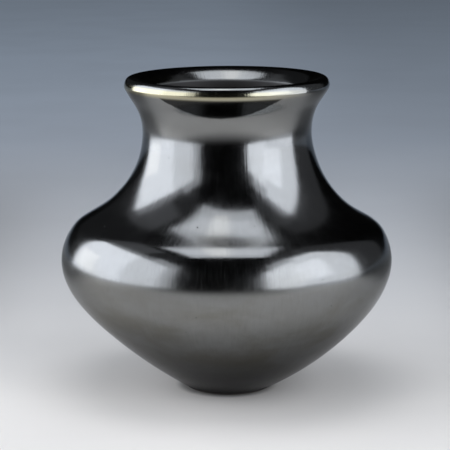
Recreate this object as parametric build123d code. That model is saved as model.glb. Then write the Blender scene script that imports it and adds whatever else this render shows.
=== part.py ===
"""A coil-built jar of smoke-blackened clay: a pressed base, nine coils and a burnished slip coat.

The jar stands on a small ring, with its axis on Z and the ground at zero. One section in the
XZ plane is drawn from the foot up the outside, over the lip and down the inside to the floor.
Slanted joints cut the section into the base and the coils, and each is turned about the axis.
"""

from build123d import *
import os

# Sizes of the form, in millimetres. The neck, the rim and the throat are measured down from the top
jar_height = 156.9
shoulder_radius = 82.5
shoulder_height = 66.3
neck_radius = 41.8
neck_drop = 27.1
rim_radius = 50.6
rim_drop = 4.3
lip_round = 3.1
lip_lean = 0.3
throat_drop = 9.0
foot_radius = 20.3
hollow_radius = 11.0
hollow_depth = 0.8

# Thickness of the wall, of the clay above the foot, of the floor and of the slip
wall_thickness = 5.0
heel_thickness = 8.5
base_thickness = 7.0
slip_thickness = 0.3

# How far outside the foot ring the slip starts, and how much lower a joint lies on the inside
slip_clearance = 2.4
coil_lap = 4.0

# Directions in degrees: the wall where it leaves the foot, and the lip from its outer side
foot_angle = 30.5
lip_start_angle = 20
lip_end_angle = 100

# Points of the outside as shares of the rise and of the run from one named ring to the next
foot_to_shoulder_shares = [(0.181, 0.305), (0.317, 0.494), (0.468, 0.674), (0.618, 0.824), (0.754, 0.926)]
shoulder_to_neck_shares = [
    (0.121, 0.038),
    (0.184, 0.082),
    (0.231, 0.130),
    (0.271, 0.194),
    (0.310, 0.290),
    (0.357, 0.412),
    (0.420, 0.550),
    (0.515, 0.702),
    (0.641, 0.845),
    (0.814, 0.958),
]
neck_to_rim_shares = [(0.228, 0.056), (0.447, 0.217), (0.623, 0.443), (0.776, 0.699), (0.895, 0.890)]

# Points of the inside of the mouth, from the throat up to the lip, as shares of the rise and the run
throat_to_lip_shares = [(0.223, 0.052), (0.536, 0.296), (0.804, 0.578), (0.935, 0.796)]

# The heel thins out over this share of the outside, which the base covers up to its own share
heel_share = 0.3
base_share = 0.2

# The inside follows the outside between these shares of it, and is straight from there to the throat
inside_from_share = 0.03
inside_to_share = 0.85
inside_point_count = 22
skin_point_count = 90

coil_names = [
    "lower_wall_coil_1",
    "lower_wall_coil_2",
    "lower_wall_coil_3",
    "shoulder_coil_1",
    "shoulder_coil_2",
    "neck_coil_1",
    "neck_coil_2",
    "neck_coil_3",
    "rim_coil",
]
first_slipped_inside = coil_names.index("neck_coil_3")


def at(radius, height):
    """A point of the section."""
    return Vector(radius, 0, height)


def toward(angle):
    """The unit direction at an angle above the outward one."""
    return Vector(1, 0, 0).rotate(Axis.Y, -angle)


def between(low, high, shares):
    """Points between two rings, from shares of the rise and of the run."""
    return [at(low.X + run * (high.X - low.X), low.Z + rise * (high.Z - low.Z)) for rise, run in shares]


def into_clay(edge, share):
    """The unit direction from an outline into the clay."""
    along = edge % share
    return Vector(-along.Z, 0, along.X)


def evenly(first, last, count):
    """Evenly spaced shares from the first to the last."""
    return [first + (last - first) * step / (count - 1) for step in range(count)]


def smooth_line(points, start, end):
    """The smooth line through points, with its directions where it starts and ends."""
    return Spline(points, tangents=[start, end], tangent_scalars=[1, 1])


def draw_outside(lip_centre):
    """The outside from the foot to where the lip starts to turn over."""
    foot = at(foot_radius, 0)
    shoulder = at(shoulder_radius, shoulder_height)
    neck = at(neck_radius, jar_height - neck_drop)
    rim = at(rim_radius, jar_height - rim_drop)
    points = [foot, *between(foot, shoulder, foot_to_shoulder_shares)]
    points += [shoulder, *between(shoulder, neck, shoulder_to_neck_shares)]
    points += [neck, *between(neck, rim, neck_to_rim_shares)]
    points += [rim, lip_centre + toward(lip_start_angle) * lip_round]
    return smooth_line(points, toward(foot_angle), toward(lip_start_angle + 90))


def draw_lip(lip_centre, radius):
    """The rounded lip, or the clay under its slip."""
    turn = (lip_end_angle - lip_start_angle) / 2
    angles = [lip_start_angle, lip_start_angle + turn, lip_end_angle]
    return ThreePointArc(*[lip_centre + toward(angle) * radius for angle in angles])


def draw_inside(outside, lip):
    """The inside from the lip down to the middle of the floor."""
    throat = at(neck_radius - wall_thickness, jar_height - throat_drop)
    points = [lip @ 1, *reversed(between(throat, lip @ 1, throat_to_lip_shares)), throat]
    for share in reversed(evenly(inside_from_share, inside_to_share, inside_point_count)):
        heel = max(0, 1 - share / heel_share)
        thickness = wall_thickness + (heel_thickness - wall_thickness) * heel**2
        points.append(outside @ share + into_clay(outside, share) * thickness)
    points.append(at(0, base_thickness))
    return smooth_line(points, lip % 1, Vector(-1, 0, 0))


def draw_under_slip(outline):
    """The line that runs under an outline, deeper by the thickness of the slip."""
    shares = evenly(0, 1, skin_point_count)
    points = [outline @ share + into_clay(outline, share) * slip_thickness for share in shares]
    return smooth_line(points, outline % 0, outline % 1)


def share_across(inner_line, share):
    """The share of an inner line where a joint from the outside comes out, lower by the lap."""
    start = clay_outside @ share
    target = start + into_clay(clay_outside, share) * wall_thickness - (clay_outside % share) * coil_lap
    return inner_line.param_at_point(inner_line.closest_points(target)[0])


def inner_line(number):
    """The line that the inside of a coil follows: clay under slip near the mouth, bare clay below."""
    return clay_inside if number >= first_slipped_inside else inside


def inner_share(number):
    """The share of its inner line where the joint under a coil comes out."""
    return 1 if number == first_slipped_inside else share_across(inner_line(number), joint_shares[number])


def inner_edges(number):
    """The inside of a coil, from its upper joint or the lip down to its lower joint."""
    bottom = inner_shares[number]
    if number == len(coil_names) - 1:
        return [clay_lip, clay_inside.trim(0, bottom)]
    if number == first_slipped_inside - 1:
        return [joints[number + 1], slip_edge, inside.trim(slip_end, bottom)]
    return [joints[number + 1], inner_line(number).trim(inner_shares[number + 1], bottom)]


def turn_section(name, edges):
    """One piece of the jar, turned about the axis from its closed section."""
    piece = revolve(make_face(edges), Axis.Z)
    piece.label = name
    export_step(piece, f"parts/{name}.step")


def make_base():
    """The base: a floor with a shallow hollow under it, and the first of the wall."""
    middle = at(0, hollow_depth)
    hollow = TangentArc(middle, at(hollow_radius, 0), tangent=(1, 0, 0))
    ring = Line(at(hollow_radius, 0), outside @ 0)
    bare_heel = outside.trim(0, slip_start)
    wall = clay_outside.trim(0, joint_shares[0])
    floor = inside.trim(inner_shares[0], 1)
    turn_section("base", [hollow, ring, bare_heel, slip_step, wall, joints[0], floor, Line(floor @ 1, middle)])


def make_coil(number):
    """A coil of the wall between two joints, or the rim between a joint and the lip."""
    face = clay_outside.trim(joint_shares[number], joint_shares[number + 1])
    turn_section(coil_names[number], [face, *inner_edges(number), joints[number]])


def make_slip():
    """The burnished slip: a thin coat from beside the foot over the lip and down inside the neck."""
    surface = [slipped_outside, lip, slipped_inside]
    underside = [clay_outside, clay_lip, clay_inside]
    turn_section("slip_coat", [*surface, slip_edge, *underside, slip_step])


# The finished surface, from the foot over the lip to the middle of the floor
lip_centre = at(rim_radius - lip_lean - lip_round, jar_height - lip_round)
outside = draw_outside(lip_centre)
lip = draw_lip(lip_centre, lip_round)
inside = draw_inside(outside, lip)

# The clay under the slip on the outside and on the lip
slip_start = slip_clearance / outside.length
slipped_outside = outside.trim(slip_start, 1)
clay_outside = draw_under_slip(slipped_outside)
slip_step = Line(clay_outside @ 0, slipped_outside @ 0)
clay_lip = draw_lip(lip_centre, lip_round - slip_thickness)

# The slip ends inside the neck at the joint under the lowest coil that it covers there
joint_shares = evenly(base_share, 1, len(coil_names) + 1)
slip_end = share_across(inside, joint_shares[first_slipped_inside])
slipped_inside = inside.trim(0, slip_end)
clay_inside = draw_under_slip(slipped_inside)
slip_edge = Line(clay_inside @ 1, slipped_inside @ 1)

# The joints, from the outside of the clay to the inside
inner_shares = [inner_share(number) for number in range(len(coil_names))]
joints = [
    Line(clay_outside @ joint_shares[number], inner_line(number) @ inner_shares[number])
    for number in range(len(coil_names))
]

os.makedirs("parts", exist_ok=True)
make_base()
for number in range(len(coil_names)):
    make_coil(number)
make_slip()
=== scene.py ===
"""Looks of a coil-built jar of smoke-blackened clay, standing in a plain studio.

The base, the nine coils and the burnished slip are turned from the section of the jar by one
Geometry Nodes tree. The tree also leans, hollows and ripples the clay a little, in the same way for
every piece, so that the slip still lies on the coils as it does after scraping and polishing by hand.
"""

import functools
import math

import bpy
import numpy as np
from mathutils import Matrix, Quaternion, Vector


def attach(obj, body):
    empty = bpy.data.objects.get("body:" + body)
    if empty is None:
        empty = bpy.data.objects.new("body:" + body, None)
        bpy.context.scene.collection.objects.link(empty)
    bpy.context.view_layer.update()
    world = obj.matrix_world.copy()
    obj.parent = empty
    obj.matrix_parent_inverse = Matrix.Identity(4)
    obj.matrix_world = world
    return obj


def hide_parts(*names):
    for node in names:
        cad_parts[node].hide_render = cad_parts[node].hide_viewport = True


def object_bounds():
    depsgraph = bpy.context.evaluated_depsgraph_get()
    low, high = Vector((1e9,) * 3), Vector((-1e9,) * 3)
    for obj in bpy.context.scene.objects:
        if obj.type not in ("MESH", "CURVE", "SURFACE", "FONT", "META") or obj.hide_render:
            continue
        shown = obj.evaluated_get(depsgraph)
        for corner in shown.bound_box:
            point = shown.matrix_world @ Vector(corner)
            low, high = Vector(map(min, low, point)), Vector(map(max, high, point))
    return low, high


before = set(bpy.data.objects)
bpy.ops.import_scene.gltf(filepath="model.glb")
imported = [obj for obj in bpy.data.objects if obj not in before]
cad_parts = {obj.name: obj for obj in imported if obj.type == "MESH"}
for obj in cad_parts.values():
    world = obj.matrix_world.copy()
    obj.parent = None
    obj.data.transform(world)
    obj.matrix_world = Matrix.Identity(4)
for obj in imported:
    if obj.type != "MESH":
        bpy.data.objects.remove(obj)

bl_info = {
    "name": "Coil-built blackware jar",
    "version": (1, 0, 0),
    "blender": (4, 5, 0),
    "location": "3D View > Sidebar > Jar",
    "description": "Builds a coil-built jar of burnished black clay and the studio it stands in",
    "category": "Add Mesh",
}

CAD_LOW, CAD_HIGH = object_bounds()
BODY = "root"

# Points of the outside as shares of the rise and of the run from one named ring to the next
FOOT_TO_SHOULDER = [(0.181, 0.305), (0.317, 0.494), (0.468, 0.674), (0.618, 0.824), (0.754, 0.926)]
SHOULDER_TO_NECK = [
    (0.121, 0.038), (0.184, 0.082), (0.231, 0.130), (0.271, 0.194), (0.310, 0.290),
    (0.357, 0.412), (0.420, 0.550), (0.515, 0.702), (0.641, 0.845), (0.814, 0.958),
]
NECK_TO_RIM = [(0.228, 0.056), (0.447, 0.217), (0.623, 0.443), (0.776, 0.699), (0.895, 0.890)]

# Points of the inside of the mouth, from the throat up to the lip, as shares of the rise and the run
THROAT_TO_LIP = [(0.223, 0.052), (0.536, 0.296), (0.804, 0.578), (0.935, 0.796)]

# Directions in degrees: the wall where it leaves the foot, and the lip from its outer side
FOOT_ANGLE = 30.5
LIP_START_ANGLE = 20
LIP_END_ANGLE = 100

# Shares of the outside: what the heel and the base cover, and where the inside starts and ends
HEEL_SHARE = 0.3
BASE_SHARE = 0.2
INSIDE_SHARES = (0.85, 0.03)

# How many points the inside is drawn through, and how many a finished line is made of
INSIDE_POINT_COUNT = 22
LIP_POINT_COUNT = 400
SKIN_POINT_COUNT = 720
SPAN_POINT_COUNT = 160
HOLLOW_POINT_COUNT = 12

# How far to look each way along a line for its direction, as a share of its length
ALONG_STEP = 2e-4

# How far apart the points of a turned outline lie in metres, and how many steps make a turn
OUTER_SPACING = 0.0011
HIDDEN_SPACING = 0.0024
LIP_SPACING = 0.0004
HIDDEN_LIP_SPACING = 0.0008
FLOOR_SPACING = 0.0015
HEEL_SPACING = 0.0005
SLIP_SEGMENTS = 240
CLAY_SEGMENTS = 160

# Points nearer than this are one point, in metres
SAME_PLACE = 1e-6

# The grid that is turned into a jar reaches this far to each side of its middle
GRID_REACH = 0.5

# A rounded corner: the most of the shorter side that it takes, the steps that it is drawn in, and for
# the thin slip how many times its reach goes into the thickness
LARGEST_ROUND = 0.45
ROUND_STEPS = (0, 0.25, 0.5, 0.75, 1)
ROUNDS_IN_SLIP = 3

# How far the middle of the jar leans to the right at each height, both in millimetres
MILLIMETRES = 1000
LEANS = [
    (0, 1.0), (4, 1.45), (9, 1.8), (15, 1.95), (20, 1.88), (25, 1.74), (30, 1.48), (35, 1.15),
    (40, 0.83), (45, 0.5), (50, 0.22), (55, 0.05), (60, 0), (66, 0), (72, 0.05), (78, 0.14),
    (81.5, 0.1), (84.5, -0.34), (87, -0.58), (90, -0.42), (94, -0.08), (98, 0.15), (104, 0.42), (112, 0.55),
    (118, 0.52), (125, 0.32), (131, 0.18), (137, 0.08), (145, -0.16), (150, 0.03), (157, 0.1),
]

COILS = [
    "lower_wall_coil_1",
    "lower_wall_coil_2",
    "lower_wall_coil_3",
    "shoulder_coil_1",
    "shoulder_coil_2",
    "neck_coil_1",
    "neck_coil_2",
    "neck_coil_3",
    "rim_coil",
]
FIRST_SLIPPED_INSIDE = COILS.index("neck_coil_3")

# Where the slip's finish, its painted shade and its painted sheen change: between which places in metres,
# and what each is before and after them. All but the last go by the height above the table, and that one by
# how far right and back a place is
SMOKE_BY_HEIGHT = (0.02, 0.085, 1.0, 0.12)
# Painted shade: the slip is darkened towards the foot, standing in for the shaded table that the lower body
# mirrors
PAINTED_SHADE_BY_HEIGHT = (0.008, 0.058, 0.98, 0.0)
ROUGHNESS_BY_HEIGHT = (0.066, 0.08, 0.155, 0.105)
STROKES_BY_HEIGHT = (0.082, 0.115, 0.3, 0.6)
# The painted sheen on the lip: where it rises, where it fades at the top, and how it fades towards the back
# and the right
SHEEN_FROM_BELOW = (0.1495, 0.152, 0.0, 1.0)
SHEEN_TO_THE_TOP = (0.1535, 0.155, 1.0, 0.0)
SHEEN_TO_THE_FRONT_LEFT = (0.02, -0.06, 0.0, 1.0)

# The dull throat reaches up and down from its middle height, and out to the clay's inner side
THROAT_MIDDLE = 0.125
THROAT_UP_AND_DOWN = (0.0246, 0.0262, 1.0, 0.0)
THROAT_OUT = (0.039, 0.04, 1.0, 0.0)

# How much of the mottle and the streaks shows, how much less metallic a dull place is, how bright the
# slip is where it is seen edge on, and how far the clouds are drawn out sideways
MOTTLE_SHARE = 0.22
SLIP_STREAK_SHARE = 0.16
CLAY_STREAK_SHARE = 0.5
DULLING = 0.7
EDGE_TINT = (0.75, 0.75, 0.75, 1.0)
CLOUD_STRETCH = (1.0, 1.0, 2.4)

# The value about which a noise varies
NOISE_MIDDLE = 0.5

# From which value of its pattern an effect starts, and where it is full
STREAKS_BY_NOISE = (0.4, 0.75)
PITS_BY_CHANCE = (0.4, 0.45)
WEAR_BY_NEARNESS = (0.55, 1.15)
# The painted dark reflection under the lip, above its low edge and under its top
REFLECTION_ABOVE_ITS_LOW_EDGE = (-0.0003, 0.0006)
REFLECTION_UNDER_ITS_TOP = (-0.0005, 0.0003)

# Painted light on the paper sweep: how bright it is painted left and right at each distance behind the jar
# in metres
PAINTED_TABLE_LIGHT = [
    (-0.85, 0.03, 0.03),
    (-0.6, 0.22, 0.22),
    (-0.4, 0.62, 0.62),
    (-0.25, 1.24, 1.34),
    (-0.09, 1.34, 1.36),
    (-0.03, 1.48, 1.3),
    (0.05, 1.32, 1.24),
    (0.18, 1.08, 1.26),
    (0.3, 1.0, 1.28),
    (0.44, 1.0, 1.27),
    (0.62, 1.12, 1.28),
    (0.84, 1.33, 1.24),
    (1.15, 1.65, 1.34),
    (1.6, 1.72, 1.36),
    (2.7, 1.4, 1.1),
]

# The paper's colour, with its painted warm and cool light, starts to turn to the distant one here, and has
# turned after this much more
FAR_TINT_START = -0.05
FAR_TINT_RUN = 0.9

# Where the painted light on the paper changes, in the same way: from its left side to its right, into the
# painted dimness on both sides, which ends further back and hardly starts beside the foot, and in the
# painted shade round the foot
TABLE_TO_THE_RIGHT = (-0.06, 0.22, 0.0, 1.0)
DIM_BESIDE = (0.1, 0.24, 0.0, 0.68)
DIM_UNTIL = (0.25, 0.8, 1.0, 0.0)
DIM_FROM = (0.02, 0.16, 0.1, 1.0)
SHADE_ROUND_FOOT = (0.0205, 0.0265, 0.65, 0.0)
DIM_COLOUR = (0.01, 0.01, 0.01)
SHADE_COLOUR = (0.02, 0.02, 0.02)

# The paper's tooth, from a noise of this scale, and its colour
FIBRES_BY_NOISE = (0.35, 0.7, 0.0, 0.06)
FIBRE_SCALE = 9.0
FIBRE_COLOUR = (0.4, 0.4, 0.4)

# What the jar mirrors where no softbox hangs
DARK_ROOM = (0.002, 0.002, 0.002)

# The sheets on the ground in metres: half their width, and where they start, meet and end
TABLE_HALF_WIDTH = 4
APRON_START = -4
TABLE_START = -0.95
TABLE_END = 6
TABLE_LEVEL = -0.00002

CAMERA_PLACE = (-0.0008, -0.9, 0.2577)
CAMERA_DIP = 11.045
CAMERA_LENS = 146.9
CAMERA_SENSOR = 36
CAMERA_RANGE = (0.05, 50)

RIGHTWARD = (1, 0, 0)
LEFTWARD = (-1, 0, 0)
DOWNWARD = (0, 0, -1)
RIGHT_AND_FORWARD = (0.63, -0.77, 0)
COOL = (0.875, 0.915, 1.0)
WARM = (1.0, 0.96, 0.85)

# Each softbox: its middle, where it faces, its width and height, the light that it belongs to, its
# share of that light's brightness, its tint, and how far it is rolled in degrees
SOFTBOXES = {
    "left_softbox": ((-0.62, -0.09, 0.335), RIGHTWARD, 1.06, 0.61, "left_light", 0.76, COOL, 0),
    "left_back_panel": ((-0.61, 0.12, 0.335), RIGHTWARD, 0.6, 0.61, "left_light", 0.24, COOL, 0),
    "left_front_panel": ((-0.62, -0.74, 0.35), RIGHTWARD, 0.24, 0.64, "left_light", 0.42, COOL, 0),
    "left_hot_spot": ((-0.6, 0.22, 0.18), RIGHTWARD, 0.26, 0.22, "left_light", 0.2, WARM, 0),
    "right_softbox": ((0.5, -0.1875, 0.395), LEFTWARD, 0.465, 0.71, "right_light", 0.82, COOL, 0),
    "right_front_softbox": ((0.5, -0.71, 0.325), LEFTWARD, 0.58, 0.59, "right_light", 1, COOL, 0),
    "right_front_panel": ((0.5, -1.1, 0.29), LEFTWARD, 0.2, 0.5, "right_light", 0.3, COOL, 0),
    "right_hot_spot": ((0.49, -0.3, 0.3), LEFTWARD, 0.28, 0.32, "right_light", 0.3, COOL, 0),
    "top_softbox": ((-0.02, -0.05, 0.9), DOWNWARD, 0.59, 0.56, "top_light", 1, COOL, 5),
    "top_back_softbox": ((-0.02, -0.02, 0.89), DOWNWARD, 0.5, 0.3, "top_light", 0.3, COOL, 5),
    "top_tube": ((-0.045, -0.04, 0.88), DOWNWARD, 0.13, 0.42, "top_light", 0.42, WARM, 0),
    "left_top_strip": ((-0.62, 0.05, 0.7), RIGHTWARD, 0.78, 0.12, "left_light", 0.16, COOL, 0),
    "right_top_strip": ((0.5, -0.19, 0.81), LEFTWARD, 0.46, 0.12, "right_light", 0.16, COOL, 0),
    "left_canopy": ((-0.62, 0.25, 0.98), RIGHTWARD, 0.7, 0.64, "fill_light", 0.15, COOL, 0),
    "left_top_canopy": ((-0.68, -0.08, 0.92), DOWNWARD, 0.5, 0.9, "fill_light", 0.05, COOL, 0),
    "left_upper_panel": ((-0.62, -0.6, 0.74), RIGHTWARD, 0.5, 0.2, "left_light", 0.3, COOL, 0),
    "right_upper_panel": ((0.5, -0.58, 0.72), LEFTWARD, 0.45, 0.2, "right_light", 0.4, COOL, 0),
    "right_canopy": ((0.5, 0.245, 0.6), LEFTWARD, 0.39, 1.1, "fill_light", 0.09, COOL, 0),
    "right_top_canopy": ((0.6, -0.25, 0.92), DOWNWARD, 0.45, 0.8, "fill_light", 0.07, COOL, 0),
    "left_skirt": ((-0.62, -0.26, 0.016), RIGHTWARD, 1.4, 0.03, "fill_light", 0.85, COOL, 0),
    "right_skirt": ((0.5, -0.48, 0.016), LEFTWARD, 1.05, 0.03, "fill_light", 0.85, COOL, 0),
    "left_back_canopy": ((-0.45, 0.55, 0.62), RIGHT_AND_FORWARD, 0.7, 0.8, "fill_light", 0.025, COOL, 0),
}


def size(name, description, default, unit="LENGTH"):
    """A size that the user may change."""
    return bpy.props.FloatProperty(
        name=name, description=description, default=default, min=0, unit=unit, precision=4
    )


def colour(name, description, default):
    """A linear colour that the user may change."""
    return bpy.props.FloatVectorProperty(
        name=name, description=description, default=default, subtype="COLOR", size=3, min=0, max=1
    )


class JarShape(bpy.types.PropertyGroup):
    """Sizes of the jar's section."""

    jar_height: size("Height", "From the table to the top of the lip", CAD_HIGH.z - CAD_LOW.z)
    shoulder_radius: size("Shoulder radius", "Outside, at the widest place", 0.0825)
    shoulder_height: size("Shoulder height", "Of the widest place above the table", 0.0663)
    neck_radius: size("Neck radius", "Outside, at the narrowest place", 0.0418)
    neck_drop: size("Neck drop", "From the top down to the narrowest place", 0.0271)
    rim_radius: size("Rim radius", "Outside of the lip", 0.0506)
    rim_drop: size("Rim drop", "From the top down to where the flare meets the lip", 0.0043)
    lip_round: size("Lip round", "Radius of the rounded lip", 0.0031)
    lip_lean: size("Lip lean", "How far the lip is rolled in from the rim radius", 0.0003)
    throat_drop: size("Throat drop", "From the top down to where the mouth meets the neck inside", 0.009)
    foot_radius: size("Foot radius", "Of the ring on which the jar stands", 0.0203)
    hollow_radius: size("Hollow radius", "Of the shallow hollow under the foot", 0.011)
    hollow_depth: size("Hollow depth", "Of the shallow hollow under the foot", 0.0008)
    wall_thickness: size("Wall thickness", "Of the coiled wall", 0.005)
    heel_thickness: size("Heel thickness", "Of the clay above the foot", 0.0085)
    base_thickness: size("Base thickness", "Of the floor in the middle", 0.007)
    slip_thickness: size("Slip thickness", "Of the burnished coat", 0.0003)
    slip_clearance: size("Slip clearance", "From the foot ring to where the slip starts", 0.0024)
    coil_lap: size("Coil lap", "How much lower a joint lies on the inside", 0.004)


class JarHandwork(bpy.types.PropertyGroup):
    """How far the clay departs from a true turned form."""

    wobble: size("Wobble", "Deepest broad hollow pressed into the wall", 0.0004)
    ripple: size("Ripple", "Deepest of the smaller hollows left by the scraper", 0.00012)
    rim_droop: size("Rim droop", "How much lower the lip lies on its left", 0.0005)
    finger_marks: size("Finger marks", "Depth of the marks on the unslipped inside", 0.0005)
    coil_bulge: size("Coil bulge", "How far each coil still swells inside the jar", 0.0005)
    edge_round: size("Edge round", "Rounding of worn edges", 0.0007)


class JarFinish(bpy.types.PropertyGroup):
    """Colours of the burnished slip and of the bare clay."""

    slip_colour: colour("Slip", "Reflection of the burnished slip", (0.236, 0.24, 0.238))
    slip_cloud: colour("Slip cloud", "Reflection where the smoke lay thinner", (0.15, 0.141, 0.112))
    slip_mottle: colour("Slip mottle", "Small blotches among the clouds", (0.1, 0.095, 0.08))
    slip_streak: colour("Slip streak", "Streaks that the polishing stone left", (0.05, 0.05, 0.045))
    # Painted shade: the colour of the painted darkening towards the foot and of the painted dark reflection
    # under the lip
    soot: colour("Soot", "Soot round the foot and in stains", (0.01, 0.01, 0.01))
    # Painted sheen: a warmer, brighter reflection colour on the lip, strongest at the front left
    lip_sheen: colour("Lip sheen", "Warm reflection on the outer edge of the lip", (0.42, 0.39, 0.27))
    clay_dark: colour("Dark clay", "Clay where the smoke soaked in", (0.022, 0.020, 0.019))
    clay_light: colour("Light clay", "Clay where the smoke lay thinner", (0.055, 0.047, 0.041))
    worn_clay: colour("Worn clay", "Clay rubbed on the standing ring", (0.13, 0.11, 0.095))


class JarStudio(bpy.types.PropertyGroup):
    """Light and table of the studio."""

    left_light: size("Left light", "Brightness of the softbox on the left", 3.3, "NONE")
    right_light: size("Right light", "Brightness of the softbox on the right", 3.1, "NONE")
    top_light: size("Top light", "Brightness of the softbox overhead", 1.65, "NONE")
    fill_light: size("Fill light", "Brightness of the dim panels round the studio", 1.0, "NONE")
    # The paper's colour in front and in the distance, each tinted with painted light: warm in front, cool
    # in the distance
    table_near: colour("Table near", "Colour of the paper sweep in front", (0.59, 0.555, 0.51))
    table_far: colour("Table far", "Colour of the paper sweep in the distance", (0.515, 0.53, 0.555))
    room_colour: colour("Room", "Faint light that fills the shadows on the table", (0.2, 0.235, 0.28))
    far_colour: colour("Distance", "What shows behind the table", (0.115, 0.128, 0.153))


class Outline:
    """A smooth line of the section, where a share of its length names each place."""

    def __init__(self, points):
        self.points = np.asarray(points, float)
        steps = np.linalg.norm(np.diff(self.points, axis=0), axis=1)
        run = np.concatenate([[0], np.cumsum(steps)])
        self.length = run[-1]
        self.shares = run / run[-1]

    def at(self, shares):
        """Points at shares of the length."""
        return np.stack([np.interp(shares, self.shares, axis) for axis in self.points.T], -1)

    def along(self, shares):
        """Unit directions at shares of the length."""
        ahead = self.at(np.clip(np.add(shares, ALONG_STEP), 0, 1))
        behind = self.at(np.clip(np.subtract(shares, ALONG_STEP), 0, 1))
        return (ahead - behind) / np.linalg.norm(ahead - behind, axis=-1, keepdims=True)

    def into_clay(self, shares):
        """Unit directions from the line into the clay."""
        along = self.along(shares)
        return np.stack([-along[..., 1], along[..., 0]], -1)

    def nearest(self, point):
        """The share of the place nearest to a point."""
        return self.shares[np.argmin(np.linalg.norm(self.points - point, axis=1))]

    def part(self, first, last, spacing):
        """Points from one share to another, about evenly spaced."""
        count = max(2, math.ceil(abs(last - first) * self.length / spacing) + 1)
        return self.at(np.linspace(first, last, count))


def toward(angle):
    """The unit direction at an angle in degrees above the outward one."""
    return np.array([math.cos(math.radians(angle)), math.sin(math.radians(angle))])


def between(low, high, shares):
    """Points between two rings, from shares of the rise and of the run."""
    return [low + (high - low) * (run, rise) for rise, run in shares]


def smooth_line(points, start, end):
    """The smoothest cubic line through points, with given directions at its ends."""
    points = np.asarray(points, float)
    gaps = np.linalg.norm(np.diff(points, axis=0), axis=1)
    matrix = np.eye(len(points))
    wanted = np.zeros_like(points)
    wanted[0], wanted[-1] = start, end
    for i in range(1, len(points) - 1):
        before, after = gaps[i - 1], gaps[i]
        matrix[i, i - 1 : i + 2] = 1 / before, 2 / before + 2 / after, 1 / after
        rise = (points[i] - points[i - 1]) / before**2 + (points[i + 1] - points[i]) / after**2
        wanted[i] = 3 * rise
    slopes = np.linalg.solve(matrix, wanted)
    t = np.linspace(0, 1, SPAN_POINT_COUNT, endpoint=False)[:, None]
    spans = [
        points[i] * (1 + 2 * t) * (1 - t) ** 2
        + points[i + 1] * t**2 * (3 - 2 * t)
        + slopes[i] * gaps[i] * t * (1 - t) ** 2
        - slopes[i + 1] * gaps[i] * t**2 * (1 - t)
        for i in range(len(gaps))
    ]
    return Outline(np.concatenate([*spans, points[-1:]]))


def lip_line(centre, radius):
    """The rounded lip, or the clay under its slip."""
    angles = np.radians(np.linspace(LIP_START_ANGLE, LIP_END_ANGLE, LIP_POINT_COUNT))
    return Outline(centre + radius * np.stack([np.cos(angles), np.sin(angles)], -1))


class Section:
    """The finished outline of the jar, the clay under its slip and the joints of its coils."""

    def __init__(self, shape):
        self.shape = shape
        foot = np.array([shape.foot_radius, 0])
        shoulder = np.array([shape.shoulder_radius, shape.shoulder_height])
        neck = self.under_top(shape.neck_radius, shape.neck_drop)
        rim = self.under_top(shape.rim_radius, shape.rim_drop)
        lip_centre = self.under_top(shape.rim_radius - shape.lip_lean - shape.lip_round, shape.lip_round)
        points = [foot, *between(foot, shoulder, FOOT_TO_SHOULDER)]
        points += [shoulder, *between(shoulder, neck, SHOULDER_TO_NECK)]
        points += [neck, *between(neck, rim, NECK_TO_RIM), rim]
        points += [lip_centre + toward(LIP_START_ANGLE) * shape.lip_round]
        self.outside = smooth_line(points, toward(FOOT_ANGLE), toward(LIP_START_ANGLE + 90))
        self.lip = lip_line(lip_centre, shape.lip_round)
        self.inside = self.draw_inside()
        self.slip_start = shape.slip_clearance / self.outside.length
        self.clay_outside = self.under_slip(self.outside, self.slip_start, 1)
        self.clay_lip = lip_line(lip_centre, shape.lip_round - shape.slip_thickness)
        self.joint_shares = np.linspace(BASE_SHARE, 1, len(COILS) + 1)
        self.slip_end = self.share_across(self.inside, self.joint_shares[FIRST_SLIPPED_INSIDE])
        self.clay_inside = self.under_slip(self.inside, 0, self.slip_end)
        self.inner_shares = [self.inner_share(number) for number in range(len(COILS))]

    def under_top(self, radius, drop):
        """A point that is measured down from the top."""
        return np.array([radius, self.shape.jar_height - drop])

    def draw_inside(self):
        """The inside from the lip down to the middle of the floor."""
        shares = np.linspace(*INSIDE_SHARES, INSIDE_POINT_COUNT)
        extra = self.shape.heel_thickness - self.shape.wall_thickness
        thickness = self.shape.wall_thickness + extra * np.maximum(0, 1 - shares / HEEL_SHARE) ** 2
        wall = self.outside.at(shares) + self.outside.into_clay(shares) * thickness[:, None]
        throat_radius = self.shape.neck_radius - self.shape.wall_thickness
        throat = self.under_top(throat_radius, self.shape.throat_drop)
        mouth = [*between(throat, self.lip.points[-1], THROAT_TO_LIP), self.lip.points[-1]]
        points = [*reversed(mouth), throat, *wall, (0, self.shape.base_thickness)]
        return smooth_line(points, toward(LIP_END_ANGLE + 90), (-1, 0))

    def under_slip(self, line, first, last):
        """The line that runs under part of another, deeper by the thickness of the slip."""
        shares = np.linspace(first, last, SKIN_POINT_COUNT)
        return Outline(line.at(shares) + line.into_clay(shares) * self.shape.slip_thickness)

    def share_across(self, inner_line, share):
        """The share of an inner line where a joint from the outside comes out, lower by the lap."""
        start = self.clay_outside.at(share)
        across = self.clay_outside.into_clay(share) * self.shape.wall_thickness
        return inner_line.nearest(start + across - self.clay_outside.along(share) * self.shape.coil_lap)

    def inner_line(self, number):
        """The line that the inside of a coil follows: clay under slip near the mouth, bare clay below."""
        return self.clay_inside if number >= FIRST_SLIPPED_INSIDE else self.inside

    def inner_share(self, number):
        """The share of its inner line where the joint under a coil comes out."""
        if number == FIRST_SLIPPED_INSIDE:
            return 1
        return self.share_across(self.inner_line(number), self.joint_shares[number])

    def joint(self, number):
        """The two ends of the joint under a coil, outer end first."""
        outer = self.clay_outside.at(self.joint_shares[number])
        return outer, self.inner_line(number).at(self.inner_shares[number])


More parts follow.
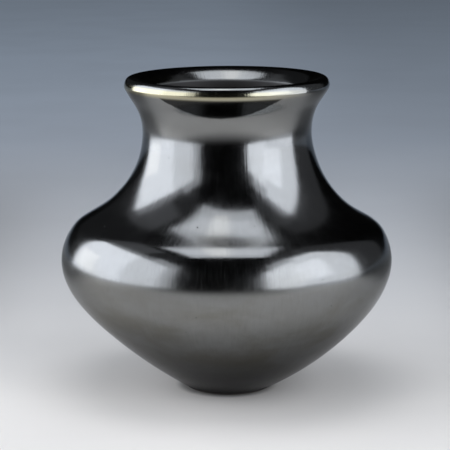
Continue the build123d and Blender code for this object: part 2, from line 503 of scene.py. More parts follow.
def join_parts(parts, edge_round):
    """One closed outline from parts that meet at corners, and how far each point is an inside one.

    Only the base has ends that don't meet: both lie on the axis, and the outline closes along it.
    """
    start, end = parts[0][0][0], parts[-1][0][-1]
    on_axis = np.linalg.norm(end - start) > SAME_PLACE
    points, inside = ([start], [0]) if on_axis else ([], [])
    for number, (line, is_inside) in enumerate(parts):
        following = parts[(number + 1) % len(parts)][0]
        corner = line[-1]
        meets = np.linalg.norm(following[0] - corner) < SAME_PLACE
        body = line[1:-1] if meets else line[1:]
        points += list(body)
        # An inside part counts in full in its middle and fades out to its corners
        shares = np.arange(1, len(body) + 1) / (len(body) + 1)
        inside += list(np.sin(np.pi * shares) * is_inside)
        if meets:
            sides = [(points[-1] if len(body) else line[0]) - corner, following[1] - corner]
            lengths = [np.linalg.norm(side) for side in sides]
            reach = min(edge_round, LARGEST_ROUND * min(lengths))
            first, last = (corner + side / length * reach for side, length in zip(sides, lengths))
            for t in ROUND_STEPS:
                points.append(first * (1 - t) ** 2 + 2 * corner * t * (1 - t) + last * t**2)
                inside.append(0)
    return np.array(points), np.array(inside)


def bulged(points, amount):
    """Moves the inside of a coil out of the wall, most in the middle of the coil."""
    line = Outline(points)
    swell = np.sin(np.pi * line.shares) ** 2 * amount
    return points - line.into_clay(line.shares) * swell[:, None]


def built_once(collection, build):
    """What a function builds, made the first time it is asked for and named for the function."""
    name = build.__name__.replace("_", " ").capitalize()
    return collection.get(name) or build(name)


def titled(inputs):
    """A group's inputs by their names in the editor, which are keywords in the code."""
    return {keyword.replace("_", " ").title(): value for keyword, value in inputs.items()}


class Nodes:
    """Places nodes in one tree. What a node is given is a plain value or another node's output."""

    # The Mix node's sockets for colours have the same names as its others, so they go by number
    COLOUR_A, COLOUR_B, COLOUR_RESULT = 6, 7, 2

    # How the nodes are laid out in the editor
    COLUMNS, COLUMN_WIDTH, ROW_HEIGHT = 12, 180, 220

    def __init__(self, tree):
        self.tree = tree

    def link(self, output, socket):
        """Joins an output to an input."""
        self.tree.links.new(output, socket)

    def place(self, kind, inputs=None, **settings):
        """Adds a node, with its inputs by name or number."""
        node = self.tree.nodes.new(kind)
        for name, value in settings.items():
            setattr(node, name, value)
        for key, value in (inputs or {}).items():
            if isinstance(value, bpy.types.NodeSocket):
                self.link(value, node.inputs[key])
            else:
                node.inputs[key].default_value = value
        row, column = divmod(len(self.tree.nodes), self.COLUMNS)
        node.location = (self.COLUMN_WIDTH * column, -self.ROW_HEIGHT * row)
        return node

    def math(self, operation, *values):
        """The result of a Math node."""
        return self.place("ShaderNodeMath", dict(enumerate(values)), operation=operation).outputs[0]

    def plus(self, *values):
        """The sum of values."""
        return functools.reduce(functools.partial(self.math, "ADD"), values)

    def times(self, *values):
        """The product of values."""
        return functools.reduce(functools.partial(self.math, "MULTIPLY"), values)

    def minus(self, value, other):
        """The first value less the second."""
        return self.math("SUBTRACT", value, other)

    def over(self, value, other):
        """The first value divided by the second."""
        return self.math("DIVIDE", value, other)

    def built_up(self, value, *effects):
        """A value with effects added to it, each given with its weight."""
        for effect, weight in effects:
            value = self.math("MULTIPLY_ADD", effect, weight, value)
        return value

    def ranged(self, value, low, high, to_low=0.0, to_high=1.0):
        """A value taken smoothly from one range to another."""
        inputs = {"Value": value, "From Min": low, "From Max": high, "To Min": to_low, "To Max": to_high}
        return self.place("ShaderNodeMapRange", inputs, interpolation_type="SMOOTHSTEP").outputs["Result"]

    def vector(self, operation, *values):
        """The vector result of a Vector Math node."""
        return self.place("ShaderNodeVectorMath", dict(enumerate(values)), operation=operation).outputs[0]

    def scaled(self, vector, factor):
        """A vector made longer or shorter."""
        inputs = {0: vector, "Scale": factor}
        return self.place("ShaderNodeVectorMath", inputs, operation="SCALE").outputs[0]

    def from_axis(self, vector):
        """How far a place is from the jar's axis."""
        flat = self.vector("MULTIPLY", vector, (1.0, 1.0, 0.0))
        return self.place("ShaderNodeVectorMath", {0: flat}, operation="LENGTH").outputs["Value"]

    def split(self, vector):
        """The X, Y and Z of a vector."""
        return self.place("ShaderNodeSeparateXYZ", {0: vector}).outputs

    def combined(self, x=0.0, y=0.0, z=0.0):
        """A vector from its X, Y and Z."""
        return self.place("ShaderNodeCombineXYZ", {"X": x, "Y": y, "Z": z}).outputs[0]

    def noise(self, vector, scale, detail=2.0, roughness=0.5, distortion=0.0):
        """The value of a Noise Texture."""
        inputs = {"Vector": vector, "Scale": scale, "Detail": detail, "Roughness": roughness}
        inputs["Distortion"] = distortion
        return self.place("ShaderNodeTexNoise", inputs).outputs[0]

    def blend(self, share, *colours):
        """A mix of two colours, each an output or red, green and blue."""
        first, second = [
            tone if isinstance(tone, bpy.types.NodeSocket) else (*tone, 1.0) for tone in colours
        ]
        inputs = {"Factor": share, self.COLOUR_A: first, self.COLOUR_B: second}
        return self.place("ShaderNodeMix", inputs, data_type="RGBA").outputs[self.COLOUR_RESULT]

    def bumped(self, relief, depth):
        """The normal of a surface with a relief of some depth in metres."""
        inputs = {"Strength": 1.0, "Distance": depth, "Height": relief}
        return self.place("ShaderNodeBump", inputs).outputs[0]

    def group(self, build, **inputs):
        """Places a shader group, which is given its inputs by keyword."""
        shared = built_once(bpy.data.node_groups, build)
        return self.place("ShaderNodeGroup", titled(inputs), node_tree=shared).outputs


SOCKET_KINDS = {float: "Float", int: "Int", tuple: "Vector"}


def new_group(name, outputs, kind="ShaderNodeTree", output_kind="Float", **inputs):
    """An empty node group: its nodes, what it is given and what it makes.

    An input is given its default, or the kind of its socket where it has none.
    """
    nodes = Nodes(bpy.data.node_groups.new(name, kind))
    sockets = nodes.tree.interface
    for title, default in titled(inputs).items():
        if isinstance(default, str):
            sockets.new_socket(title, in_out="INPUT", socket_type="NodeSocket" + default)
        else:
            socket_type = "NodeSocket" + SOCKET_KINDS[type(default)]
            sockets.new_socket(title, in_out="INPUT", socket_type=socket_type).default_value = default
    for title in outputs:
        sockets.new_socket(title, in_out="OUTPUT", socket_type="NodeSocket" + output_kind)
    return nodes, nodes.place("NodeGroupInput").outputs, nodes.place("NodeGroupOutput").inputs


def clay_by_hand(name):
    """The tree that turns an outline about the axis and gives it the potter's unevenness."""
    nodes, given, made = new_group(
        name,
        ["Clay"],
        kind="GeometryNodeTree",
        output_kind="Geometry",
        section="Geometry",
        segments=200,
        wobble=0.0004,
        hollow_rise=22.0,
        hollow_scale=1.1,
        ripple=0.0001,
        ripple_scale=55.0,
        ripple_roughness=0.4,
        rim_droop=0.0005,
        rim_height=0.12,
        rim_reach=0.037,
        finger_marks=0.0005,
        finger_scale=70.0,
        finger_stretch=(1.0, 1.0, 2.2),
        foot_height=0.012,
        shoulder_height=0.066,
        shoulder_hold=0.00006,
        shoulder_flat=0.002,
        shoulder_reach=0.016,
        seed=3.0,
        material="Material",
    )
    section = given["Section"]
    domain = nodes.place("GeometryNodeAttributeDomainSize", {"Geometry": section}, component="MESH")
    count = domain.outputs["Point Count"]
    sizes = {"Size X": 1.0, "Size Y": 1.0, "Vertices Y": count}
    sizes["Vertices X"] = nodes.plus(given["Segments"], 1)
    grid = nodes.place("GeometryNodeMeshGrid", sizes).outputs
    own_place = nodes.place("GeometryNodeInputPosition").outputs[0]
    flat = nodes.split(own_place)
    row_value = nodes.times(nodes.plus(flat["Y"], GRID_REACH), nodes.minus(count, 1))
    row = nodes.place("FunctionNodeFloatToInt", {0: row_value}, rounding_mode="ROUND").outputs[0]
    turn = nodes.times(nodes.plus(flat["X"], GRID_REACH), math.tau)

    def sampled(value, kind="FLOAT"):
        inputs = {"Geometry": section, "Value": value, "Index": row}
        return nodes.place("GeometryNodeSampleIndex", inputs, data_type=kind).outputs[0]

    def named(title):
        inputs = {"Name": title}
        return nodes.place("GeometryNodeInputNamedAttribute", inputs, data_type="FLOAT").outputs[0]

    def worked(geometry, kind, inputs=None, **settings):
        inputs = {"Geometry": geometry, **(inputs or {})}
        return nodes.place("GeometryNode" + kind, inputs, **settings).outputs[0]

    def stored(geometry, title, value, kind, domain):
        inputs = {"Name": title, "Value": value}
        return worked(geometry, "StoreNamedAttribute", inputs, data_type=kind, domain=domain)

    spot = nodes.split(sampled(own_place, "FLOAT_VECTOR"))
    radius, height = spot["X"], spot["Z"]
    cosine, sine = nodes.math("COSINE", turn), nodes.math("SINE", turn)

    # Broad hollows follow the direction and the height, smaller ones the place on the clay
    rise = nodes.plus(nodes.times(height, given["Hollow Rise"]), given["Seed"])
    broad = nodes.vector("ADD", nodes.combined(cosine, sine), nodes.combined(z=rise))
    wobble = nodes.noise(broad, given["Hollow Scale"], detail=1.0)
    true_place = nodes.combined(nodes.times(cosine, radius), nodes.times(sine, radius), height)
    ripple = nodes.noise(true_place, given["Ripple Scale"], detail=1.0, roughness=given["Ripple Roughness"])
    pressed = nodes.times(nodes.minus(wobble, NOISE_MIDDLE), given["Wobble"])
    scraped = nodes.times(nodes.minus(ripple, NOISE_MIDDLE), given["Ripple"])

    # The widest place is held in, so that it stays within the true form, and the foot stays round
    off_shoulder = nodes.math("ABSOLUTE", nodes.minus(height, given["Shoulder Height"]))
    flat_to, reach, hold = given["Shoulder Flat"], given["Shoulder Reach"], given["Shoulder Hold"]
    held_in = nodes.ranged(off_shoulder, flat_to, reach, hold, 0.0)
    above_foot = nodes.ranged(height, 0.0, given["Foot Height"])
    inward = nodes.times(nodes.plus(pressed, scraped, held_in), above_foot)
    new_radius = nodes.minus(radius, nodes.math("MINIMUM", inward, radius))

    # The rim droops most on the left, where the cosine is -1, and each course leans as it was told
    leftness = nodes.built_up(0.5, (cosine, -0.5))
    rim_top = nodes.plus(given["Rim Height"], given["Rim Reach"])
    near_rim = nodes.ranged(height, given["Rim Height"], rim_top)
    droop = nodes.times(leftness, near_rim, given["Rim Droop"])
    across = nodes.plus(nodes.times(cosine, new_radius), sampled(named("lean")))
    hand_place = nodes.combined(across, nodes.times(sine, new_radius), nodes.minus(height, droop))

    inside = sampled(named("inside"))
    clay = stored(grid["Mesh"], "UVMap", grid["UV Map"], "FLOAT2", "CORNER")
    clay = stored(clay, "inside", inside, "FLOAT", "POINT")
    clay = worked(clay, "SetPosition", {"Position": hand_place})
    clay = worked(clay, "MergeByDistance", {"Distance": SAME_PLACE})

    # Finger and scraper marks on the bare inside
    stretched = nodes.vector("MULTIPLY", own_place, given["Finger Stretch"])
    finger = nodes.noise(stretched, given["Finger Scale"])
    depth = nodes.times(nodes.minus(finger, NOISE_MIDDLE), given["Finger Marks"], named("inside"))
    push = nodes.scaled(nodes.place("GeometryNodeInputNormal").outputs[0], depth)
    clay = worked(clay, "SetPosition", {"Offset": push})
    clay = worked(worked(clay, "SetShadeSmooth"), "RealizeInstances")
    nodes.link(worked(clay, "SetMaterial", {"Material": given["Material"]}), made["Clay"])
    return nodes.tree


def smoke_clouds(name):
    """Slow changes of tone from where the smoke lay thick or thin in the firing."""
    nodes, given, made = new_group(name, ["Cloud"], vector="Vector", cloud_size=0.03, contrast=0.25)
    scale = nodes.over(1.0, given["Cloud Size"])
    noise = nodes.noise(given["Vector"], scale, detail=4.0, roughness=0.55, distortion=0.4)
    low = nodes.minus(NOISE_MIDDLE, given["Contrast"])
    high = nodes.plus(NOISE_MIDDLE, given["Contrast"])
    nodes.link(nodes.ranged(noise, low, high), made["Cloud"])
    return nodes.tree


def tool_strokes(name):
    """Strokes of a stone or scraper, which run up and down the wall side by side."""
    nodes, given, made = new_group(
        name,
        ["Height", "Streak"],
        vector="Vector",
        strokes_round=40.0,
        stroke_length=0.02,
        unevenness=0.5,
        streak_fineness=3.1,
    )
    spot = nodes.split(given["Vector"])
    outward = nodes.vector("NORMALIZE", nodes.combined(spot["X"], spot["Y"]))
    spread = nodes.scaled(outward, given["Strokes Round"])
    rise = nodes.over(spot["Z"], given["Stroke Length"])
    place_on = nodes.vector("ADD", spread, nodes.combined(z=rise))
    nodes.link(nodes.noise(place_on, 1.0, roughness=given["Unevenness"]), made["Height"])
    fine = nodes.noise(place_on, given["Streak Fineness"], detail=3.0)
    nodes.link(nodes.ranged(fine, *STREAKS_BY_NOISE), made["Streak"])
    return nodes.tree


def clay_grit(name):
    """Fine grain of the clay, and pits where grit was dragged out or burnt away."""
    nodes, given, made = new_group(
        name,
        ["Height", "Pits"],
        vector="Vector",
        grain_size=0.0006,
        pit_spacing=0.008,
        largest_pit=0.1,
        small_pits=3.0,
        pit_floor=0.4,
    )
    grain = nodes.noise(given["Vector"], nodes.over(1.0, given["Grain Size"]), detail=3.0)
    nodes.link(grain, made["Height"])
    cells = {"Vector": given["Vector"], "Scale": nodes.over(1.0, given["Pit Spacing"])}
    cells = nodes.place("ShaderNodeTexVoronoi", cells).outputs
    chance = nodes.split(cells["Color"])
    reach = nodes.times(nodes.math("POWER", chance["X"], given["Small Pits"]), given["Largest Pit"])
    pits = nodes.ranged(cells["Distance"], nodes.times(reach, given["Pit Floor"]), reach, 1.0, 0.0)
    nodes.link(nodes.times(pits, nodes.ranged(chance["Y"], *PITS_BY_CHANCE)), made["Pits"])
    return nodes.tree


def band_of_wear(name):
    """A ragged band of wear round the jar about one height."""
    nodes, given, made = new_group(
        name, ["Wear"], vector="Vector", band_height=0.0, band_width=0.002, raggedness=0.6, rag_scale=260.0
    )
    height = nodes.split(given["Vector"])["Z"]
    off = nodes.math("ABSOLUTE", nodes.minus(height, given["Band Height"]))
    near = nodes.minus(1.0, nodes.over(off, given["Band Width"]))
    rags = nodes.times(nodes.noise(given["Vector"], given["Rag Scale"], detail=4.0), given["Raggedness"])
    nodes.link(nodes.ranged(nodes.plus(near, rags), *WEAR_BY_NEARNESS), made["Wear"])
    return nodes.tree


def painted_dark_reflection(name):
    """A painted dark reflection: a darker lens-shaped patch on the flare, under the front of the lip."""
    nodes, given, made = new_group(
        name,
        ["Stain"],
        vector="Vector",
        middle=-0.003,
        half_width=0.029,
        top=0.1505,
        depth=0.0092,
        front=-0.03,
        full_front=-0.034,
        rag_scale=160.0,
        rag_depth=0.0016,
        darkness=0.9,
    )
    spot = nodes.split(given["Vector"])
    noise = nodes.noise(given["Vector"], given["Rag Scale"], detail=3.0)
    ragged = nodes.times(nodes.minus(noise, NOISE_MIDDLE), given["Rag Depth"])
    across = nodes.over(nodes.minus(spot["X"], given["Middle"]), given["Half Width"])
    hang = nodes.minus(1.0, nodes.times(across, across))
    low = nodes.minus(given["Top"], nodes.times(hang, given["Depth"]))
    above_low = nodes.minus(nodes.plus(spot["Z"], ragged), low)
    above_low = nodes.ranged(above_low, *REFLECTION_ABOVE_ITS_LOW_EDGE)
    under_top = nodes.ranged(nodes.minus(given["Top"], spot["Z"]), *REFLECTION_UNDER_ITS_TOP)
    in_front = nodes.ranged(spot["Y"], given["Front"], given["Full Front"])
    nodes.link(nodes.times(above_low, under_top, in_front, given["Darkness"]), made["Stain"])
    return nodes.tree


def new_material(name):
    """A material with a Principled shader: its nodes, the shader's inputs and the object coordinates."""
    material = bpy.data.materials.new(name)
    material.use_nodes = True
    nodes = Nodes(material.node_tree)
    shader = nodes.tree.nodes["Principled BSDF"].inputs
    return material, nodes, shader, nodes.place("ShaderNodeTexCoord").outputs["Object"]


def burnished_slip(name):
    """Slip that is rubbed with a stone until it mirrors, then blackened and sealed by smoke."""
    finish = bpy.context.scene.jar_finish
    material, nodes, shader, where = new_material(name)
    spot = nodes.split(where)
    height = spot["Z"]
    lying = nodes.vector("MULTIPLY", where, CLOUD_STRETCH)
    cloud = nodes.group(smoke_clouds, vector=lying, cloud_size=0.04, contrast=0.2)["Cloud"]
    mottle = nodes.group(smoke_clouds, vector=where, cloud_size=0.006, contrast=0.3)["Cloud"]
    strokes = nodes.group(tool_strokes, vector=where, strokes_round=54.0, stroke_length=0.02)
    grit = nodes.group(clay_grit, vector=where, grain_size=0.0008, pit_spacing=0.0045)
    foot_wear = nodes.group(band_of_wear, vector=where, band_height=0.001, band_width=0.004)["Wear"]
    painted_reflection = nodes.group(painted_dark_reflection, vector=where)["Stain"]

    # Clouds, mottle and streaks show most low down
    low_down = nodes.ranged(height, *SMOKE_BY_HEIGHT)
    base = nodes.blend(nodes.times(cloud, low_down), finish.slip_colour, finish.slip_cloud)
    faint = nodes.times(low_down, MOTTLE_SHARE, mottle)
    streak = nodes.times(strokes["Streak"], low_down, SLIP_STREAK_SHARE)
    # Painted shade: darker towards the foot, for the shaded table that the lower body mirrors, and a
    # painted dark reflection under the front of the lip
    soot = nodes.math("MAXIMUM", nodes.ranged(height, *PAINTED_SHADE_BY_HEIGHT), painted_reflection)
    for share, tone in [(faint, finish.slip_mottle), (streak, finish.slip_streak), (soot, finish.soot)]:
        base = nodes.blend(share, base, tone)

    # A painted warm sheen lies in a band under the top of the lip and fades towards the back and the right
    front_left = nodes.ranged(nodes.plus(spot["X"], spot["Y"]), *SHEEN_TO_THE_FRONT_LEFT)
    band = [nodes.ranged(height, *SHEEN_FROM_BELOW), nodes.ranged(height, *SHEEN_TO_THE_TOP)]
    base = nodes.blend(nodes.times(*band, front_left), base, finish.lip_sheen)

    # Pits, the worn place by the foot and the throat are dull
    from_middle = nodes.math("ABSOLUTE", nodes.minus(height, THROAT_MIDDLE))
    throat = nodes.ranged(from_middle, *THROAT_UP_AND_DOWN)
    throat = nodes.times(throat, nodes.ranged(nodes.from_axis(where), *THROAT_OUT))
    dull = nodes.math("MAXIMUM", nodes.math("MAXIMUM", grit["Pits"], foot_wear), throat)
    nodes.link(nodes.blend(dull, base, finish.clay_dark), shader["Base Color"])
    nodes.link(nodes.minus(1.0, nodes.times(dull, DULLING)), shader["Metallic"])
    shader["Specular Tint"].default_value = EDGE_TINT
    rough = nodes.ranged(height, *ROUGHNESS_BY_HEIGHT)
    rough = nodes.built_up(rough, (cloud, 0.04), (mottle, 0.035), (strokes["Streak"], 0.05), (dull, 0.4))
    nodes.link(rough, shader["Roughness"])
    stroked = nodes.times(strokes["Height"], nodes.ranged(height, *STROKES_BY_HEIGHT))
    relief = nodes.built_up(stroked, (grit["Height"], 0.11), (grit["Pits"], -1.5))
    nodes.link(nodes.bumped(relief, depth=0.000055), shader["Normal"])
    return material


def smoked_clay(name):
    """Bare clay, black from the smoke, with the marks of a gourd scraper and of its grit."""
    finish = bpy.context.scene.jar_finish
    material, nodes, shader, where = new_material(name)
    cloud = nodes.group(smoke_clouds, vector=where, cloud_size=0.02, contrast=0.3)["Cloud"]
    strokes = nodes.group(
        tool_strokes, vector=where, strokes_round=14.0, stroke_length=0.006, unevenness=0.7
    )
    grit = nodes.group(clay_grit, vector=where, grain_size=0.0011, pit_spacing=0.004)
    ring_wear = nodes.group(band_of_wear, vector=where, band_height=0.0, band_width=0.0012)["Wear"]
    base = nodes.blend(cloud, finish.clay_dark, finish.clay_light)
    base = nodes.blend(nodes.times(strokes["Streak"], CLAY_STREAK_SHARE), base, finish.clay_light)
    nodes.link(nodes.blend(ring_wear, base, finish.worn_clay), shader["Base Color"])
    nodes.link(nodes.built_up(0.72, (cloud, 0.12), (ring_wear, -0.15)), shader["Roughness"])
    relief = nodes.built_up(grit["Height"], (strokes["Height"], 2.0), (grit["Pits"], -2.0))
    nodes.link(nodes.bumped(relief, depth=0.00012), shader["Normal"])
    return material


def paper(name):
    """Plain paper with a faint tooth, with painted light that changes from its near edge to the distance,
    painted dimness on both sides and painted shade round the foot.
    """
    studio = bpy.context.scene.jar_studio
    material, nodes, shader, where = new_material(name)
    spot = nodes.split(where)
    beside, behind = spot["X"], spot["Y"]
    # The paper's painted light, left and right, at each distance behind the jar
    distances, *painted_light_by_side = zip(*PAINTED_TABLE_LIGHT)
    first, last = distances[0], distances[-1]
    share = nodes.place("ShaderNodeMapRange", {"Value": behind, "From Min": first, "From Max": last})
    sides = []
    for painted_light in painted_light_by_side:
        ramp = nodes.place("ShaderNodeValToRGB", {0: share.outputs["Result"]})
        stops = ramp.color_ramp.elements
        while len(stops) < len(painted_light):
            stops.new(1.0)
        for stop, distance, tone in zip(stops, distances, painted_light):
            stop.position = (distance - first) / (last - first)
            far = min(1, max(0, (distance - FAR_TINT_START) / FAR_TINT_RUN))
            tint = (1 - far) * np.array(studio.table_near) + far * np.array(studio.table_far)
            stop.color = (*(tint * tone), 1.0)
        sides.append(ramp.outputs[0])
    painted_paper = nodes.blend(nodes.ranged(beside, *TABLE_TO_THE_RIGHT), *sides)
    # Painted dimness on both sides
    dim = nodes.ranged(nodes.math("ABSOLUTE", beside), *DIM_BESIDE)
    dim = nodes.times(dim, nodes.ranged(behind, *DIM_UNTIL), nodes.ranged(behind, *DIM_FROM))
    painted_paper = nodes.blend(dim, painted_paper, DIM_COLOUR)
    fibres = nodes.ranged(nodes.noise(where, FIBRE_SCALE, detail=5.0), *FIBRES_BY_NOISE)
    base = nodes.blend(fibres, painted_paper, FIBRE_COLOUR)
    # Painted shade round the foot
    shade = nodes.ranged(nodes.from_axis(where), *SHADE_ROUND_FOOT)
    nodes.link(nodes.blend(shade, base, SHADE_COLOUR), shader["Base Color"])
    shader["Roughness"].default_value = 0.9
    shader["Specular IOR Level"].default_value = 0.2
    return material


FINISHES = {"smoked_clay": smoked_clay, "burnished_slip": burnished_slip}


def add_object(name, data):
    """Puts an object with some data into the scene."""
    item = bpy.data.objects.new(name, data)
    bpy.context.scene.collection.objects.link(item)
    return item


def turn_piece(name, node, slot, points, inside, segments):
    """Turns a closed outline into one piece of the jar, which stands for a CAD node."""
    outline = bpy.data.meshes.new(name)
    closed = np.vstack([points, points[:1]])
    outline.from_pydata([(r, 0, z) for r, z in closed], [(i, i + 1) for i in range(len(closed) - 1)], [])
    upright = (1, 0)
    leaning = smooth_line(np.array(LEANS) / MILLIMETRES, upright, upright).points
    lean = np.interp(closed[:, 1], leaning[:, 0], leaning[:, 1])
    for key, value in {"inside": np.append(inside, inside[0]), "lean": lean}.items():
        attribute = outline.attributes.new(key, "FLOAT", "POINT")
        attribute.data.foreach_set("value", value.astype(np.float32))
    piece = add_object(name, outline)
    modifier = piece.modifiers.new("Clay by hand", "NODES")
    modifier.node_group = built_once(bpy.data.node_groups, clay_by_hand)
    hand = bpy.context.scene.jar_handwork
    wanted = {
        "Segments": segments,
        "Shoulder Height": bpy.context.scene.jar_shape.shoulder_height,
        "Wobble": hand.wobble,
        "Ripple": hand.ripple,
        "Rim Droop": hand.rim_droop,
        "Finger Marks": hand.finger_marks,
        "Material": built_once(bpy.data.materials, FINISHES[slot]),
    }
    for item in modifier.node_group.interface.items_tree:
        if item.name in wanted:
            modifier[item.identifier] = wanted[item.name]
    depsgraph = bpy.context.evaluated_depsgraph_get()
    clay = bpy.data.meshes.new_from_object(piece.evaluated_get(depsgraph), depsgraph=depsgraph)
    piece.modifiers.clear()
    piece.data = clay
    clay.name = name
    bpy.data.meshes.remove(outline)
    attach(piece, BODY)
    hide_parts(node)


class JAR_OT_base(bpy.types.Operator):
    """Build the pressed base with the foot on which the jar stands"""

    bl_idname = "jar.base"
    bl_label = "Base"

    def execute(self, context):
        shape = context.scene.jar_shape
        section = Section(shape)
        turns = np.linspace(0, 1, HOLLOW_POINT_COUNT)[:, None]
        ring = Outline([(shape.hollow_radius, 0), (shape.foot_radius, 0)])
        under_and_out = [
            np.hstack([turns * shape.hollow_radius, shape.hollow_depth * (1 - turns**2)]),
            ring.part(0, 1, FLOOR_SPACING),
            section.outside.part(0, section.slip_start, HEEL_SPACING),
            np.array([section.outside.at(section.slip_start), section.clay_outside.at(0)]),
            section.clay_outside.part(0, section.joint_shares[0], HIDDEN_SPACING),
            Outline(section.joint(0)).part(0, 1, HIDDEN_SPACING),
        ]
        floor = section.inside.part(section.inner_shares[0], 1, FLOOR_SPACING)
        parts = [(line, False) for line in under_and_out] + [(floor, True)]
        points, inside = join_parts(parts, context.scene.jar_handwork.edge_round)
        turn_piece("base_clay", "base", "smoked_clay", points, inside, CLAY_SEGMENTS)
        return {"FINISHED"}


class JAR_OT_coils(bpy.types.Operator):
    """Build the nine coils of the wall, from the lower wall to the rim"""

    bl_idname = "jar.coils"
    bl_label = "Coils"

    def execute(self, context):
        hand = context.scene.jar_handwork
        section = Section(context.scene.jar_shape)
        for number, name in enumerate(COILS):
            low, high = section.joint_shares[number : number + 2]
            parts = [(section.clay_outside.part(low, high, HIDDEN_SPACING), False)]
            line = section.inner_line(number)
            bottom = section.inner_shares[number]
            if name == COILS[-1]:
                parts.append((section.clay_lip.part(0, 1, HIDDEN_LIP_SPACING), False))
                parts.append((line.part(0, bottom, HIDDEN_SPACING), False))
            else:
                parts.append((Outline(section.joint(number + 1)).part(0, 1, HIDDEN_SPACING), False))
                top = section.inner_shares[number + 1]
                if number == FIRST_SLIPPED_INSIDE - 1:
                    top = section.slip_end
                    step = np.array([section.clay_inside.at(1), section.inside.at(top)])
                    parts.append((step, False))
                inner = line.part(top, bottom, FLOOR_SPACING)
                bare = number < FIRST_SLIPPED_INSIDE
                parts.append((bulged(inner, hand.coil_bulge) if bare else inner, bare))
            parts.append((Outline(section.joint(number)[::-1]).part(0, 1, HIDDEN_SPACING), False))
            points, inside = join_parts(parts, hand.edge_round)
            turn_piece(name + "_clay", name, "smoked_clay", points, inside, CLAY_SEGMENTS)
        return {"FINISHED"}


class JAR_OT_slip(bpy.types.Operator):
    """Lay the burnished slip over the outside, the lip and the top of the inside"""

    bl_idname = "jar.slip"
    bl_label = "Slip coat"

    def execute(self, context):
        section = Section(context.scene.jar_shape)
        surface = [
            section.outside.part(section.slip_start, 1, OUTER_SPACING),
            section.lip.part(0, 1, LIP_SPACING),
            section.inside.part(0, section.slip_end, OUTER_SPACING),
        ]
        underside = [
            section.clay_inside.part(1, 0, HIDDEN_SPACING),
            section.clay_lip.part(1, 0, HIDDEN_LIP_SPACING),
            section.clay_outside.part(1, 0, HIDDEN_SPACING),
        ]
        # The three lines run on into each other, so only the two edges of the coat have corners
        above, below = [np.vstack([a, b[1:], c[1:]]) for a, b, c in (surface, underside)]
        inner_edge, outer_edge = np.array([above[-1], below[0]]), np.array([below[-1], above[0]])
        parts = [(line, False) for line in (above, inner_edge, below, outer_edge)]
        edge_round = context.scene.jar_shape.slip_thickness / ROUNDS_IN_SLIP
        points, inside = join_parts(parts, edge_round)
        turn_piece("burnished_slip_coat", "slip_coat", "burnished_slip", points, inside, SLIP_SEGMENTS)
        return {"FINISHED"}


def lay_sheet(name, start, end, material):
    """A flat sheet across the ground just under the foot, from one distance to another."""
    mesh = bpy.data.meshes.new(name)
    corners = [(-TABLE_HALF_WIDTH, start), (TABLE_HALF_WIDTH, start)]
    corners += [(TABLE_HALF_WIDTH, end), (-TABLE_HALF_WIDTH, end)]
    mesh.from_pydata([(x, y, TABLE_LEVEL) for x, y in corners], [], [(0, 1, 2, 3)])
    mesh.materials.append(material)
    sheet = add_object(name, mesh)
    return sheet


def hang_softbox(name, centre, facing, width, height, brightness, tint, roll):
    """A rectangular light of even brightness that the camera doesn't see, rolled by some degrees."""
    light = bpy.data.lights.new(name, "AREA")
    light.shape = "RECTANGLE"
    light.size, light.size_y = width, height
    light.energy = brightness * math.pi * width * height
    light.color = tint
    softbox = add_object(name, light)
    softbox.location = centre
    turn = Vector(facing).to_track_quat("-Z", "Y") @ Quaternion((0, 0, 1), math.radians(roll))
    softbox.rotation_euler = turn.to_euler()
    softbox.visible_camera = False


def light_room(scene, studio):
    """Darkness round the studio that only fills the shadows and shows dimly behind the table."""
    world = bpy.data.worlds.new("Dark studio")
    scene.world = world
    world.use_nodes = True
    nodes = Nodes(world.node_tree)
    rays = nodes.place("ShaderNodeLightPath").outputs
    seen = nodes.blend(rays["Is Camera Ray"], DARK_ROOM, studio.far_colour)
    seen = nodes.blend(rays["Is Diffuse Ray"], seen, studio.room_colour)
    nodes.link(seen, nodes.tree.nodes["Background"].inputs["Color"])


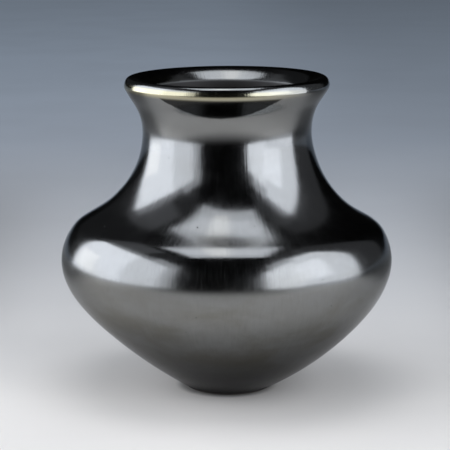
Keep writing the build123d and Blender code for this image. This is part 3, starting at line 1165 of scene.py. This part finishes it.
def place_camera(scene):
    """The camera, in front of the jar and looking a little down on it."""
    data = bpy.data.cameras.new("Camera")
    data.lens, data.sensor_width = CAMERA_LENS, CAMERA_SENSOR
    data.clip_start, data.clip_end = CAMERA_RANGE
    camera = add_object("Camera", data)
    camera.location = CAMERA_PLACE
    camera.rotation_euler = (math.radians(90 - CAMERA_DIP), 0, 0)
    scene.camera = camera
    scene.view_settings.view_transform = "Standard"


class JAR_OT_studio(bpy.types.Operator):
    """Set up the table, the softboxes and the camera"""

    bl_idname = "jar.studio"
    bl_label = "Studio"

    def execute(self, context):
        scene, studio = context.scene, context.scene.jar_studio
        sweep = built_once(bpy.data.materials, paper)
        lay_sheet("table", TABLE_START, TABLE_END, sweep)
        lay_sheet("apron", APRON_START, TABLE_START, sweep).visible_glossy = False
        for name, (centre, facing, width, height, light, share, tint, roll) in SOFTBOXES.items():
            hang_softbox(name, centre, facing, width, height, getattr(studio, light) * share, tint, roll)
        light_room(scene, studio)
        place_camera(scene)
        return {"FINISHED"}


class JAR_PT_panel(bpy.types.Panel):
    """Sizes, handwork and colours of the jar, with a button for each step"""

    bl_label = "Coil-built jar"
    bl_idname = "JAR_PT_panel"
    bl_space_type = "VIEW_3D"
    bl_region_type = "UI"
    bl_category = "Jar"

    def draw(self, context):
        for group in SETTINGS:
            settings = getattr(context.scene, group)
            box = self.layout.box()
            for name in settings.__annotations__:
                box.prop(settings, name)
        for operator in OPERATORS:
            self.layout.operator(operator.bl_idname)


SETTINGS = {
    "jar_shape": JarShape,
    "jar_handwork": JarHandwork,
    "jar_finish": JarFinish,
    "jar_studio": JarStudio,
}
OPERATORS = [JAR_OT_base, JAR_OT_coils, JAR_OT_slip, JAR_OT_studio]


def register():
    for name, group in SETTINGS.items():
        bpy.utils.register_class(group)
        setattr(bpy.types.Scene, name, bpy.props.PointerProperty(type=group))
    for item in [*OPERATORS, JAR_PT_panel]:
        bpy.utils.register_class(item)


def unregister():
    for item in reversed([*OPERATORS, JAR_PT_panel]):
        bpy.utils.unregister_class(item)
    for name, group in reversed(SETTINGS.items()):
        delattr(bpy.types.Scene, name)
        bpy.utils.unregister_class(group)


def main():
    """Builds the jar and its studio."""
    register()
    bpy.ops.jar.base()
    bpy.ops.jar.coils()
    bpy.ops.jar.slip()
    bpy.ops.jar.studio()


if __name__ == "__main__":
    main()
